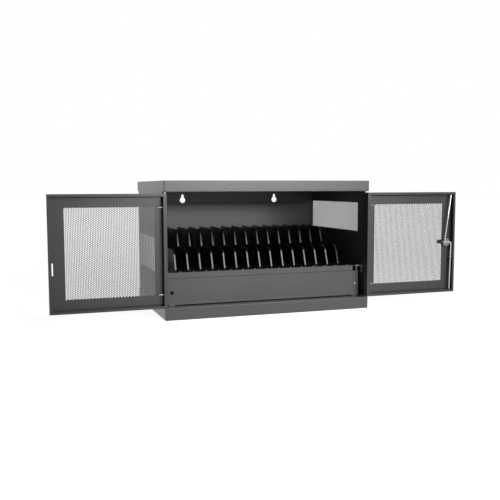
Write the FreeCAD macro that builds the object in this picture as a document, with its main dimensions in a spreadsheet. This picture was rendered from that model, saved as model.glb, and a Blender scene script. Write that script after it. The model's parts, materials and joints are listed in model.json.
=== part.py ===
import FreeCAD, Part
import math
import os
import re
import Sketcher
from FreeCAD import Placement, Rotation, Vector

# Steel tablet charging cabinet with two perforated doors, shown open by half a turn.
# Origin at the middle of the flat bottom, +Z up, front towards -Y. Sizes in millimetres.
SIZES = {
    # case
    "width": 680,
    "depth": 450,
    "height": 420,
    "lid_height": 34,
    "plinth_height": 38,
    "case_sheet": 1.5,
    "case_flange": 14,
    "lid_front_flange": 28,
    "case_bend": 2,
    # side and back panels
    "panel_sheet": 1.2,
    "panel_flange": 12,
    "body_inset": 3,
    "jamb_setback": 22,
    "jamb_return": 2.6,
    # side vents
    "left_vent_height": 107,
    "right_vent_height": 99,
    "vent_front_gap": 47,
    "vent_rear_gap": 8,
    "left_vent_drop": 9,
    "right_vent_drop": 37,
    "mesh_pitch": 18,
    "mesh_strand": 4,
    # wall fixing
    "keyhole_spacing": 355.6,
    "keyhole_drop": 33,
    "keyhole_head_radius": 10,
    "keyhole_neck_radius": 4.4,
    "keyhole_rise": 16.6,
    "rail_height": 48,
    "rail_sheet": 1.5,
    "rail_return": 8,
    "rail_end_gap": 2,
    "rivet_radius": 3,
    "rivet_head": 1.2,
    # shelf and its supports
    "shelf_top": 140.5,
    "shelf_setback": 38,
    "shelf_side_gap": 0.4,
    "lip_height": 17.5,
    "lip_left_gap": 13,
    "lip_right_gap": 33,
    "stud_radius": 5.5,
    "stud_height": 2.2,
    "stud_setback": 8,
    "cable_gap": 14,
    "channel_width": 20,
    "channel_sheet": 1.5,
    "channel_drop": 24,
    # access panel
    "panel_gap": 1,
    "panel_foot_gap": 3,
    "panel_end_gap": 13,
    "screw_end_gap": 25,
    "screw_rise": 40.6,
    "screw_head_radius": 5.5,
    "screw_head": 2.5,
    "screw_radius": 2.5,
    "screw_length": 9,
    "screw_drive_width": 1.6,
    "screw_drive_length": 7,
    "screw_drive_depth": 1.2,
    "lug_width": 16,
    "lug_gap": 5,
    # dividers
    "bay_end_gap": 12.6,
    "divider_thickness": 5,
    "divider_setback": 107,
    "divider_rear_gap": 20.8,
    "front_step": 60,
    "rear_step": 117,
    "riser_lean": 0.37,
    "step_length": 135,
    "tread_rise": 2.5,
    "divider_round": 22,
    "divider_edge": 0.5,
    # power
    "strip_end_gap": 35.8,
    "strip_margin": 12,
    "strip_width": 60,
    "strip_height": 44,
    "strip_spread": 90,
    "outlet_length": 40,
    "outlet_width": 34,
    "outlet_proud": 3,
    "blade_slot_length": 8,
    "blade_slot_width": 2,
    "blade_spread": 6.35,
    "earth_hole_radius": 2.4,
    "earth_offset": 9,
    "inlet_side_gap": 85.8,
    "inlet_rise": 47,
    "inlet_width": 27,
    "inlet_tall": 20,
    "inlet_deep": 26,
    "inlet_flange_width": 48,
    "inlet_flange_tall": 26,
    "inlet_flange": 2.5,
    "inlet_wall": 2.5,
    "inlet_pin_width": 2,
    "inlet_pin_tall": 5,
    "inlet_pin_spread": 7,
    "inlet_recess": 18,
    "breaker_gap": 60,
    "breaker_radius": 5.5,
    "breaker_bezel_radius": 8,
    "breaker_bezel": 1.2,
    "breaker_deep": 26,
    "button_radius": 3,
    "button_proud": 2.2,
    "button_inside": 20,
    # doors
    "door_sheet": 1.2,
    "door_depth": 20,
    "door_bottom_gap": 1.5,
    "door_top_gap": 4.5,
    "door_gap": 2,
    "meeting_offset": 2.5,
    "door_lip": 8,
    "hinge_lip": 11,
    "hinge_stile": 33.5,
    "free_stile": 40,
    "window_rail": 37.5,
    "door_bend": 1.5,
    "slot_from_edge": 11.5,
    "slot_width": 4,
    "slot_drop": 61.5,
    "slot_height": 36,
    # hinge pins
    "pivot_inset": 4,
    "pivot_depth": 6.25,
    "hinge_reach": 3.5,
    "pin_radius": 2,
    "running_gap": 0.06,
    "pin_tail": 23,
    "pin_drop": 40.5,
    "pin_engage": 5,
    "guide_drop": 16,
    "guide_height": 8,
    "guide_side": 6,
    # lock
    "lock_from_edge": 28.5,
    "rose_radius": 15,
    "rose_thickness": 4,
    "lock_body_radius": 9.5,
    "lock_body_inside": 8,
    "barrel_radius": 7,
    "nut_radius": 13.5,
    "nut_thickness": 4,
    "fit_gap": 0.05,
    "face_gap": 0.3,
    "hub_radius": 10,
    "hub_length": 4,
    "grip_half": 17,
    "grip_radius": 6.8,
    "boss_radius": 6.5,
    "boss_proud": 0.8,
    "plug_radius": 4,
    "plug_length": 18,
    "key_slot_width": 1.4,
    "key_slot_length": 5,
    "key_slot_depth": 7,
    "cam_level": 10,
    "cam_radius": 13,
    "cam_thickness": 2,
    "cam_arm": 8.9,
    "cam_screw_radius": 2,
    "cam_screw_head_radius": 3.8,
    "cam_screw_head": 2.5,
    "cam_screw_length": 6,
    "eye_radius": 4.5,
    "eye_thickness": 3,
    "eye_gap": 0.2,
    "rod_rivet_radius": 2,
    "rod_rivet_head_radius": 3.3,
    "rod_rivet_head": 1.4,
    "rod_radius": 2.5,
    "hook_reach": 7.7,
    "upper_guide_from_edge": 14.5,
    "lower_guide_from_edge": 16,
    "rod_slot_length": 13,
    "rod_slot_width": 5.8,
    "rod_upper_proud": 1.5,
    "rod_lower_proud": 0.5,
    "receiver_length": 16,
    "receiver_width": 9,
    "guide_plate_length": 20,
    "guide_plate_width": 7.6,
    "guide_plate": 3,
    "strike_drop": 53.5,
    "strike_height": 22,
    "strike_leg": 13,
    "strike_tab": 9.5,
    "strike_sheet": 2,
}

BAYS = 16
OUTLETS_PER_STRIP = 8
BACK_RIVETS = 5
LEFT, RIGHT = -1, 1

doc = FreeCAD.newDocument("charging_station")
sheet = doc.addObject("Spreadsheet::Sheet", "Sizes")
for row, (alias, value) in enumerate(SIZES.items(), start=1):
    sheet.set(f"A{row}", str(value))
    sheet.setAlias(f"A{row}", alias)
doc.recompute()

nodes = []

# Places that several pieces share, as expressions of the sheet's values.
LID_LOW = "(height - lid_height)"
SIDE_OUT = "(width/2 - body_inset)"
SIDE_IN = "(width/2 - body_inset - panel_sheet)"
BACK_OUT = "(depth/2 - body_inset)"
BACK_IN = "(depth/2 - body_inset - panel_sheet)"
FRONT = "(-depth/2)"
LIP_Y = "(-depth/2 + shelf_setback)"
SHELF_LOW = "(shelf_top - panel_sheet)"
LIP_LOW = "(shelf_top - lip_height)"
SCREW_Z = "(plinth_height + screw_rise)"
KEYHOLE_Z = f"({LID_LOW} - keyhole_drop)"
BAY_PITCH = f"(2*({SIDE_IN} - bay_end_gap)/{BAYS})"
PIVOT_X = "(width/2 - pivot_inset)"
PIVOT_Y = "(-depth/2 + pivot_depth)"
SKIN_Y = "(-depth/2 + 2*pivot_depth)"
DOOR_LOW = "(plinth_height + door_bottom_gap)"
DOOR_TOP = "(height - lid_height - door_top_gap)"
DOOR_MIDDLE = f"(({DOOR_LOW} + {DOOR_TOP})/2)"
DOOR_REACH = {
    LEFT: f"({PIVOT_X} + meeting_offset - door_gap/2)",
    RIGHT: f"({PIVOT_X} - meeting_offset - door_gap/2)",
}
LOCK_U = f"({DOOR_REACH[RIGHT]} - lock_from_edge)"
LOCK_X = f"({PIVOT_X} + {LOCK_U})"
ROD_LEVEL = "(cam_level + cam_thickness + eye_gap + rod_radius)"
EYE_LOW = "(cam_level + cam_thickness + eye_gap)"
UPPER_GUIDE_U = f"({DOOR_REACH[RIGHT]} - upper_guide_from_edge)"
LOWER_GUIDE_U = f"({DOOR_REACH[RIGHT]} - lower_guide_from_edge)"


def tie(expression):
    """Turn the size names in an expression into references to the sheet."""
    def named(match):
        word = match.group(0)
        return f"Sizes.{word}" if word in SIZES else word
    return re.sub(r"[a-z][a-z_]*", named, expression)


def size(name):
    return float(sheet.get(name))


def node(label, shape_object):
    """Name a finished piece."""
    shape_object.Label = label
    nodes.append(shape_object)
    return shape_object


def box(name, x_span, y_span, z_span):
    made = doc.addObject("Part::Box", name)
    for side, axis, (low, high) in zip(("Length", "Width", "Height"), "xyz", (x_span, y_span, z_span)):
        made.setExpression(side, tie(f"({high}) - ({low})"))
        made.setExpression(f"Placement.Base.{axis}", tie(f"{low}"))
    return made


TURN_TO = {
    "x": Rotation(Vector(0, 1, 0), 90),
    "y": Rotation(Vector(1, 0, 0), -90),
    "z": Rotation(),
}


def bar(name, axis, centre, span, radius):
    """A round bar along one axis: centre gives the two other coordinates in x, y, z order."""
    made = doc.addObject("Part::Cylinder", name)
    made.Placement = Placement(Vector(), TURN_TO[axis])
    others = [letter for letter in "xyz" if letter != axis]
    for letter, place in zip(others, centre):
        made.setExpression(f"Placement.Base.{letter}", tie(place))
    made.setExpression(f"Placement.Base.{axis}", tie(span[0]))
    made.setExpression("Height", tie(f"({span[1]}) - ({span[0]})"))
    made.setExpression("Radius", tie(radius))
    return made


def ball(name, x, y, z, radius):
    made = doc.addObject("Part::Sphere", name)
    for letter, place in zip("xyz", (x, y, z)):
        made.setExpression(f"Placement.Base.{letter}", tie(place))
    made.setExpression("Radius", tie(radius))
    return made


def join(name, *pieces):
    made = doc.addObject("Part::MultiFuse", name)
    made.Shapes = list(pieces)
    return made


def bend_edges(name, solid_box, radius_name):
    """Round all the edges of a box, as the bends of a folded sheet."""
    radius = size(radius_name)
    made = doc.addObject("Part::Fillet", name)
    made.Base = solid_box
    made.Edges = [(edge, radius, radius) for edge in range(1, 13)]
    return made


def cut(name, base, *tools):
    made = doc.addObject("Part::Cut", name)
    made.Base = base
    made.Tool = tools[0] if len(tools) == 1 else join(f"{name}_tools", *tools)
    return made


def group(name, *pieces):
    made = doc.addObject("Part::Compound", name)
    made.Links = list(pieces)
    return made


def sided(sign, low, high):
    """A span in x, mirrored for the left side."""
    if sign == RIGHT:
        return (low, high)
    return (f"-({high})", f"-({low})")


def at_side(sign, place):
    return place if sign == RIGHT else f"-({place})"


def middle(place, length):
    return (f"({place}) - ({length})/2", f"({place}) + ({length})/2")


def door_x(sign, low, high):
    """A span on an open door, measured outwards from its pivot."""
    return sided(sign, f"{PIVOT_X} + ({low})", f"{PIVOT_X} + ({high})")


def door_y(low, high):
    """A span through an open door, measured from its outer skin to its inside."""
    return (f"{SKIN_Y} - ({high})", f"{SKIN_Y} - ({low})")


def holed_sheet(length, tall, thickness):
    """A flat sheet standing on X and Z with staggered six-sided holes inside a plain margin."""
    pitch = size("mesh_pitch")
    margin = size("mesh_strand")
    hole_radius = (pitch - size("mesh_strand")) / math.sqrt(3)
    column_step = pitch * math.sqrt(3) / 2
    columns = int((length - 2 * margin - 2 * hole_radius) / column_step) + 1
    rows = int((tall - 2 * margin - pitch) / pitch) + 1
    first_x = (length - (columns - 1) * column_step) / 2
    first_z = (tall - (rows - 1) * pitch) / 2

    def loop(points):
        return Part.makePolygon(points + points[:1])

    corners = [Vector(0, 0, 0), Vector(length, 0, 0), Vector(length, 0, tall), Vector(0, 0, tall)]
    loops = [loop(corners)]
    for column in range(columns):
        shifted = column % 2
        for level in range(rows - shifted):
            centre_x = first_x + column * column_step
            centre_z = first_z + (level + shifted / 2) * pitch
            turns = [math.radians(60 * k) for k in range(6)]
            hexagon = [Vector(centre_x + hole_radius * math.cos(a), 0, centre_z + hole_radius * math.sin(a))
                       for a in turns]
            loops.append(loop(hexagon))
    return Part.makeFace(loops, "Part::FaceMakerBullseye").extrude(Vector(0, thickness, 0))


def pin_hole(name, sign, z_span):
    return bar(name, "z", (at_side(sign, PIVOT_X), PIVOT_Y), z_span, "pin_radius + running_gap")


def receiver(name, guide_u, z_span):
    """The opening that takes a lock rod when the right door is shut."""
    x_span = middle(f"{PIVOT_X} - {guide_u}", "receiver_length")
    y_span = middle(f"{FRONT} + {ROD_LEVEL}", "receiver_width")
    return box(name, x_span, y_span, z_span)


def screw_x(sign):
    return at_side(sign, f"{SIDE_IN} - screw_end_gap")


def base_plinth():
    """Folded tray with inward top flanges and two lugs for the access panel."""
    outer = box("base_outer", ("-width/2", "width/2"), ("-depth/2", "depth/2"), ("0", "plinth_height"))
    hollow = box("base_hollow", ("-width/2 + case_sheet", "width/2 - case_sheet"),
                 ("-depth/2 + case_sheet", "depth/2 - case_sheet"),
                 ("case_sheet", "plinth_height - case_sheet"))
    mouth = box("base_mouth", ("-width/2 + case_sheet + case_flange", "width/2 - case_sheet - case_flange"),
                (f"{LIP_Y} + panel_sheet + case_sheet", "depth/2 - case_sheet - case_flange"),
                ("plinth_height - 2*case_sheet", "plinth_height + case_sheet"))
    tray = cut("base_tray", bend_edges("base_bent", outer, "case_bend"), hollow, mouth)
    lugs = []
    holes = []
    flange_span = ("plinth_height - 2*case_sheet", "plinth_height + case_sheet")
    for sign in (LEFT, RIGHT):
        lug_y = (f"{LIP_Y} + panel_sheet", f"{LIP_Y} + panel_sheet + case_sheet")
        lugs.append(box("base_lug", middle(screw_x(sign), "lug_width"), lug_y,
                        ("plinth_height - case_sheet", f"{LIP_LOW} - lug_gap")))
        holes.append(bar("lug_hole", "y", (screw_x(sign), SCREW_Z),
                         (f"{LIP_Y}", f"{LIP_Y} + screw_length"), "screw_radius + fit_gap"))
        holes.append(pin_hole("base_pin_hole", sign, flange_span))
    holes.append(receiver("base_receiver", LOWER_GUIDE_U, flange_span))
    node("base_plinth", cut("base_plinth", join("base_folded", tray, *lugs), *holes))


def lid():
    """Folded tray, open below inside its flanges."""
    outer = box("lid_outer", ("-width/2", "width/2"), ("-depth/2", "depth/2"), (LID_LOW, "height"))
    hollow = box("lid_hollow", ("-width/2 + case_sheet", "width/2 - case_sheet"),
                 ("-depth/2 + case_sheet", "depth/2 - case_sheet"),
                 (f"{LID_LOW} + case_sheet", "height - case_sheet"))
    mouth = box("lid_mouth", ("-width/2 + case_sheet + case_flange", "width/2 - case_sheet - case_flange"),
                ("-depth/2 + lid_front_flange", "depth/2 - case_sheet - case_flange"),
                (f"{LID_LOW} - case_sheet", f"{LID_LOW} + 2*case_sheet"))
    flange_span = (f"{LID_LOW} - case_sheet", f"{LID_LOW} + 2*case_sheet")
    holes = [pin_hole("lid_pin_hole", sign, flange_span) for sign in (LEFT, RIGHT)]
    holes.append(receiver("lid_receiver", UPPER_GUIDE_U, flange_span))
    node("lid", cut("lid", bend_edges("lid_bent", outer, "case_bend"), hollow, mouth, *holes))


VENT_REAR = f"({BACK_IN} - vent_rear_gap)"
VENT_FRONT = f"({FRONT} + jamb_setback + vent_front_gap)"
VENT_LOW = {
    LEFT: "(shelf_top - left_vent_drop)",
    RIGHT: f"({LID_LOW} - right_vent_drop - right_vent_height)",
}
VENT_HEIGHT = {LEFT: "left_vent_height", RIGHT: "right_vent_height"}


def side_panel(sign, side):
    """Side sheet with flanges above, below and behind, a jamb in front, and a perforated vent."""
    y_span = (f"{FRONT} + jamb_setback", BACK_IN)
    flange_x = sided(sign, f"{SIDE_OUT} - panel_flange", SIDE_OUT)
    web = box("side_web", sided(sign, SIDE_IN, SIDE_OUT), y_span, ("plinth_height", LID_LOW))
    top = box("side_top", flange_x, y_span, (f"{LID_LOW} - panel_sheet", LID_LOW))
    bottom = box("side_bottom", flange_x, y_span, ("plinth_height", "plinth_height + panel_sheet"))
    rear = box("side_rear", flange_x, (f"{BACK_IN} - panel_sheet", BACK_IN), ("plinth_height", LID_LOW))
    jamb_y = (f"{FRONT} + jamb_setback", f"{FRONT} + jamb_setback + panel_sheet")
    jamb = box("side_jamb", sided(sign, SIDE_IN, f"{SIDE_OUT} + jamb_return"), jamb_y,
               ("plinth_height", LID_LOW))
    window = box("side_window", sided(sign, f"{SIDE_IN} - panel_sheet", f"{SIDE_OUT} + panel_sheet"),
                 (VENT_FRONT, VENT_REAR), (VENT_LOW[sign], f"{VENT_LOW[sign]} + {VENT_HEIGHT[sign]}"))
    folded = join("side_folded", web, top, bottom, rear, jamb)
    node(f"side_panel_{side}", cut(f"side_panel_{side}", folded, window))

    grille = doc.addObject("Part::Feature", f"vent_grille_{side}")
    doc.recompute()
    grille.Shape = holed_sheet(window.Width.Value, window.Height.Value, size("panel_sheet"))
    grille.Placement = Placement(Vector(), Rotation(Vector(0, 0, 1), 90))
    grille.setExpression("Placement.Base.x", tie(sided(sign, SIDE_IN, SIDE_OUT)[1]))
    grille.setExpression("Placement.Base.y", tie(VENT_FRONT))
    grille.setExpression("Placement.Base.z", tie(VENT_LOW[sign]))
    node(f"vent_grille_{side}", grille)


def keyholes(name, y_span):
    """Two keyholes for hanging the cabinet on wall screws."""
    tools = []
    for sign in (LEFT, RIGHT):
        x = at_side(sign, "keyhole_spacing/2")
        neck_top = f"{KEYHOLE_Z} + keyhole_rise"
        tools.append(bar(f"{name}_head", "y", (x, KEYHOLE_Z), y_span, "keyhole_head_radius"))
        tools.append(bar(f"{name}_neck_end", "y", (x, neck_top), y_span, "keyhole_neck_radius"))
        tools.append(box(f"{name}_neck", middle(x, "2*keyhole_neck_radius"), y_span, (KEYHOLE_Z, neck_top)))
    return tools


INLET_X = f"({SIDE_IN} - inlet_side_gap)"
INLET_Z = "(plinth_height + inlet_rise)"
BREAKER_X = f"({INLET_X} - breaker_gap)"


def back_panel():
    sheet_y = (BACK_IN, BACK_OUT)
    through = (f"{BACK_IN} - panel_sheet", f"{BACK_OUT} + panel_sheet")
    plate = box("back_plate", (f"-{SIDE_OUT}", SIDE_OUT), sheet_y, ("plinth_height", LID_LOW))
    inlet_hole = box("inlet_hole", middle(INLET_X, "inlet_width + 2*face_gap"), through,
                     middle(INLET_Z, "inlet_tall + 2*face_gap"))
    breaker_hole = bar("breaker_hole", "y", (BREAKER_X, INLET_Z), through, "breaker_radius + fit_gap")
    node("back_panel", cut("back_panel", plate, inlet_hole, breaker_hole, *keyholes("back_keyhole", through)))

    rail_end = f"({SIDE_OUT} - panel_flange - rail_end_gap)"
    rail_y = (f"{BACK_IN} - rail_sheet", BACK_IN)
    rail_low = f"({LID_LOW} - rail_height)"
    rail = box("rail_plate", (f"-{rail_end}", rail_end), rail_y, (rail_low, LID_LOW))
    foot = box("rail_foot", (f"-{rail_end}", rail_end), (f"{BACK_IN} - rail_return", BACK_IN),
               (rail_low, f"{rail_low} + rail_sheet"))
    rail_through = (f"{BACK_IN} - 2*rail_sheet", f"{BACK_IN} + rail_sheet")
    folded = join("rail_folded", rail, foot)
    node("wall_rail", cut("wall_rail", folded, *keyholes("rail_keyhole", rail_through)))

    rivets = []
    for sign in (LEFT, RIGHT):
        for step in range(BACK_RIVETS):
            level = f"plinth_height + ({LID_LOW} - plinth_height)*{2 * step + 1}/{2 * BACK_RIVETS}"
            rivets.append(bar("back_rivet", "y", (at_side(sign, f"{SIDE_OUT} - panel_flange/2"), level),
                              (BACK_OUT, f"{BACK_OUT} + rivet_head"), "rivet_radius"))
    node("back_rivets", group("back_rivets", *rivets))


def bay_x(edge):
    """The x of a bay's edge, counted from the middle one."""
    return f"{edge}*{BAY_PITCH}"


def shelf():
    """Flat shelf with a front lip, a row of stop studs and a gap for cables behind it."""
    side = f"({SIDE_IN} - shelf_side_gap)"
    rear = f"({BACK_IN} - panel_sheet - cable_gap)"
    lip_x = (f"-({SIDE_IN} - lip_left_gap)", f"{SIDE_IN} - lip_right_gap")
    plate = box("shelf_plate", (f"-{side}", side), (LIP_Y, rear), (SHELF_LOW, "shelf_top"))
    lip = box("shelf_lip", lip_x, (LIP_Y, f"{LIP_Y} + panel_sheet"), (LIP_LOW, "shelf_top"))
    node("shelf", join("shelf", plate, lip))
    edges = range(-BAYS // 2, BAYS // 2 + 1)
    studs = [bar("shelf_stud", "z", (bay_x(edge), f"{LIP_Y} + stud_setback"),
                 ("shelf_top", "shelf_top + stud_height"), "stud_radius") for edge in edges]
    node("shelf_studs", group("shelf_studs", *studs))


def shelf_channel(sign, side):
    """Plated channel that carries one end of the shelf."""
    y_span = (f"{LIP_Y} + panel_sheet + fit_gap", f"{BACK_IN} - panel_sheet")
    inner = f"({SIDE_IN} - channel_width)"
    top = box("channel_top", sided(sign, inner, SIDE_IN), y_span,
              (f"{SHELF_LOW} - channel_sheet", SHELF_LOW))
    inside = box("channel_inside", sided(sign, inner, f"{inner} + channel_sheet"), y_span,
                 (LIP_LOW, SHELF_LOW))
    outside = box("channel_outside", sided(sign, f"{SIDE_IN} - channel_sheet", SIDE_IN), y_span,
                  (f"{SHELF_LOW} - channel_drop", SHELF_LOW))
    node(f"shelf_channel_{side}", join(f"shelf_channel_{side}", top, inside, outside))


def access_panel():
    end = f"({SIDE_IN} - panel_end_gap)"
    plate = box("access_plate", (f"-{end}", end), (LIP_Y, f"{LIP_Y} + panel_sheet"),
                ("plinth_height + panel_foot_gap", f"{LIP_LOW} - panel_gap"))
    holes = [bar("access_hole", "y", (screw_x(sign), SCREW_Z),
                 (f"{LIP_Y} - panel_sheet", f"{LIP_Y} + 2*panel_sheet"), "screw_radius + fit_gap")
             for sign in (LEFT, RIGHT)]
    node("access_panel", cut("access_panel", plate, *holes))
    for sign, side in ((LEFT, "left"), (RIGHT, "right")):
        x = screw_x(sign)
        head = bar("screw_head_disc", "y", (x, SCREW_Z), (f"{LIP_Y} - screw_head", LIP_Y),
                   "screw_head_radius")
        shank = bar("screw_shank", "y", (x, SCREW_Z), (LIP_Y, f"{LIP_Y} + screw_length"), "screw_radius")
        drive_y = (f"{LIP_Y} - 2*screw_head", f"{LIP_Y} - screw_head + screw_drive_depth")
        across = box("drive_across", middle(x, "screw_drive_length"), drive_y,
                     middle(SCREW_Z, "screw_drive_width"))
        upright = box("drive_upright", middle(x, "screw_drive_width"), drive_y,
                      middle(SCREW_Z, "screw_drive_length"))
        solid = join("screw_solid", head, shank)
        node(f"access_screw_{side}", cut(f"access_screw_{side}", solid, across, upright))


def add_line(sketch, start, end):
    return sketch.addGeometry(Part.LineSegment(Vector(*start, 0), Vector(*end, 0)), False)


def pin_point(sketch, line, across, up):
    """Hold the start of a line at a place given by two expressions."""
    for kind, place in (("DistanceX", across), ("DistanceY", up)):
        number = sketch.addConstraint(Sketcher.Constraint(kind, -1, 1, line, 1, 1.0))
        sketch.setExpression(f"Constraints[{number}]", tie(place))


# Corners of a divider's side view, measured from its front foot: across is back, up is up.
DIVIDER_LENGTH = f"({BACK_IN} - divider_rear_gap - {FRONT} - divider_setback)"
DIVIDER_OUTLINE = [
    ("front_step*riser_lean", "front_step"),
    ("step_length", "front_step + tread_rise"),
    ("step_length + (rear_step - front_step - tread_rise)*riser_lean", "rear_step"),
    (DIVIDER_LENGTH, "rear_step + tread_rise"),
    (DIVIDER_LENGTH, "0"),
]
ROUNDED_CORNERS = (1, 3, 4)
# A first guess at the same corners, which the sketch's constraints then move into place.
ROUGH_CORNERS = [(0, 0), (20, 60), (130, 65), (150, 120), (310, 125), (310, 0)]


def divider(number):
    """One stepped plate with leaning front edges and rounded shoulders."""
    body = doc.addObject("PartDesign::Body", f"divider_{number:02d}")
    outline = body.newObject("Sketcher::SketchObject", f"divider_outline_{number:02d}")
    side_plane = [plane for plane in body.Origin.OriginFeatures if plane.Role == "YZ_Plane"][0]
    outline.AttachmentSupport = [(side_plane, "")]
    outline.MapMode = "FlatFace"
    ends = ROUGH_CORNERS[1:] + ROUGH_CORNERS[:1]
    lines = [add_line(outline, start, end) for start, end in zip(ROUGH_CORNERS, ends)]
    for k in range(len(lines)):
        following = lines[(k + 1) % len(lines)]
        outline.addConstraint(Sketcher.Constraint("Coincident", lines[k], 2, following, 1))
    outline.addConstraint(Sketcher.Constraint("Coincident", lines[0], 1, -1, 1))
    for line, (across, up) in zip(lines[1:-1], DIVIDER_OUTLINE[:-1]):
        pin_point(outline, line, across, up)
    outline.addConstraint(Sketcher.Constraint("PointOnObject", lines[-1], 1, -1))
    outline.addConstraint(Sketcher.Constraint("Vertical", lines[-2]))
    plate = body.newObject("PartDesign::Pad", f"divider_plate_{number:02d}")
    plate.Profile = outline
    plate.Midplane = True
    plate.setExpression("Length", tie("divider_thickness"))
    doc.recompute()
    shoulders = []
    for corner in ROUNDED_CORNERS:
        place = outline.Geometry[corner].StartPoint
        for index, edge in enumerate(plate.Shape.Edges, start=1):
            points = [vertex.Point for vertex in edge.Vertexes]
            if all(math.hypot(p.y - place.x, p.z - place.y) < 1e-4 for p in points):
                shoulders.append(f"Edge{index}")
    rounds = body.newObject("PartDesign::Fillet", f"divider_rounds_{number:02d}")
    rounds.Base = (plate, shoulders)
    rounds.setExpression("Radius", tie("divider_round"))
    doc.recompute()
    flanks = [f"Face{index}" for index, face in enumerate(rounds.Shape.Faces, start=1)
              if abs(face.normalAt(0, 0).x) > 0.99]
    softened = body.newObject("PartDesign::Fillet", f"divider_edges_{number:02d}")
    softened.Base = (rounds, flanks)
    softened.setExpression("Radius", tie("divider_edge"))
    body.Tip = softened
    body.setExpression("Placement.Base.x", tie(bay_x(number - BAYS // 2)))
    body.setExpression("Placement.Base.y", tie(f"{FRONT} + divider_setback"))
    body.setExpression("Placement.Base.z", tie("shelf_top"))
    node(f"divider_{number:02d}", body)


def power_strips():
    """Two outlet strips on the floor of the lower compartment."""
    strip_top = "(case_sheet + strip_height)"
    strip_end = f"({SIDE_IN} - strip_end_gap)"
    outlet_pitch = f"(2*({strip_end} - strip_margin)/{OUTLETS_PER_STRIP})"
    outlets = []
    for name, place in (("front", "-strip_spread"), ("rear", "strip_spread")):
        node(f"power_strip_{name}", box(f"power_strip_{name}", (f"-{strip_end}", strip_end),
                                        middle(place, "strip_width"), ("case_sheet", strip_top)))
        for index in range(OUTLETS_PER_STRIP):
            x = f"{index - (OUTLETS_PER_STRIP - 1) / 2}*{outlet_pitch}"
            face = box("outlet_face", middle(x, "outlet_length"), middle(place, "outlet_width"),
                       (strip_top, f"{strip_top} + outlet_proud"))
            hole_span = (f"{strip_top} + outlet_proud/3", f"{strip_top} + 2*outlet_proud")
            blades = [box("blade_slot", middle(f"{x} + {sign}*blade_spread", "blade_slot_width"),
                          middle(place, "blade_slot_length"), hole_span) for sign in (LEFT, RIGHT)]
            earth = bar("earth_hole", "z", (x, f"{place} - earth_offset"), hole_span, "earth_hole_radius")
            outlets.append(cut("outlet", face, *blades, earth))
    node("outlet_sockets", group("outlet_sockets", *outlets))


def power_inlet():
    """Three-pin appliance inlet and a push-to-reset breaker on the back."""
    flange = box("inlet_flange_plate", middle(INLET_X, "inlet_flange_width"),
                 (BACK_OUT, f"{BACK_OUT} + inlet_flange"), middle(INLET_Z, "inlet_flange_tall"))
    body = box("inlet_body", middle(INLET_X, "inlet_width"), (f"{BACK_OUT} - inlet_deep", BACK_OUT),
               middle(INLET_Z, "inlet_tall"))
    recess = box("inlet_recess_space", middle(INLET_X, "inlet_width - 2*inlet_wall"),
                 (f"{BACK_OUT} + inlet_flange - inlet_recess", f"{BACK_OUT} + 2*inlet_flange"),
                 middle(INLET_Z, "inlet_tall - 2*inlet_wall"))
    pins = [box("inlet_pin", middle(f"{INLET_X} + {step}*inlet_pin_spread", "inlet_pin_width"),
                (f"{BACK_OUT} + inlet_flange - inlet_recess - inlet_wall", BACK_OUT),
                middle(INLET_Z, "inlet_pin_tall")) for step in (-1, 0, 1)]
    shell = cut("inlet_shell", join("inlet_solid", flange, body), recess)
    node("power_inlet", join("power_inlet", shell, *pins))

    centre = (BREAKER_X, INLET_Z)
    bezel = bar("breaker_bezel_disc", "y", centre, (BACK_OUT, f"{BACK_OUT} + breaker_bezel"),
                "breaker_bezel_radius")
    barrel = bar("breaker_barrel", "y", centre, (f"{BACK_OUT} - breaker_deep", BACK_OUT), "breaker_radius")
    bore_span = (f"{BACK_OUT} - button_inside - button_radius", f"{BACK_OUT} + breaker_deep")
    bore = bar("breaker_bore", "y", centre, bore_span, "button_radius + running_gap")
    node("breaker_body", cut("breaker_body", join("breaker_solid", bezel, barrel), bore))
    button_span = (f"{BACK_OUT} - button_inside", f"{BACK_OUT} + button_proud")
    node("breaker_button", bar("breaker_button", "y", centre, button_span, "button_radius"))


def rod_slot(name, guide_u, z_span):
    return box(name, middle(f"{PIVOT_X} + {guide_u}", "rod_slot_length"),
               middle(f"{SKIN_Y} - {ROD_LEVEL}", "rod_slot_width"), z_span)


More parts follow.
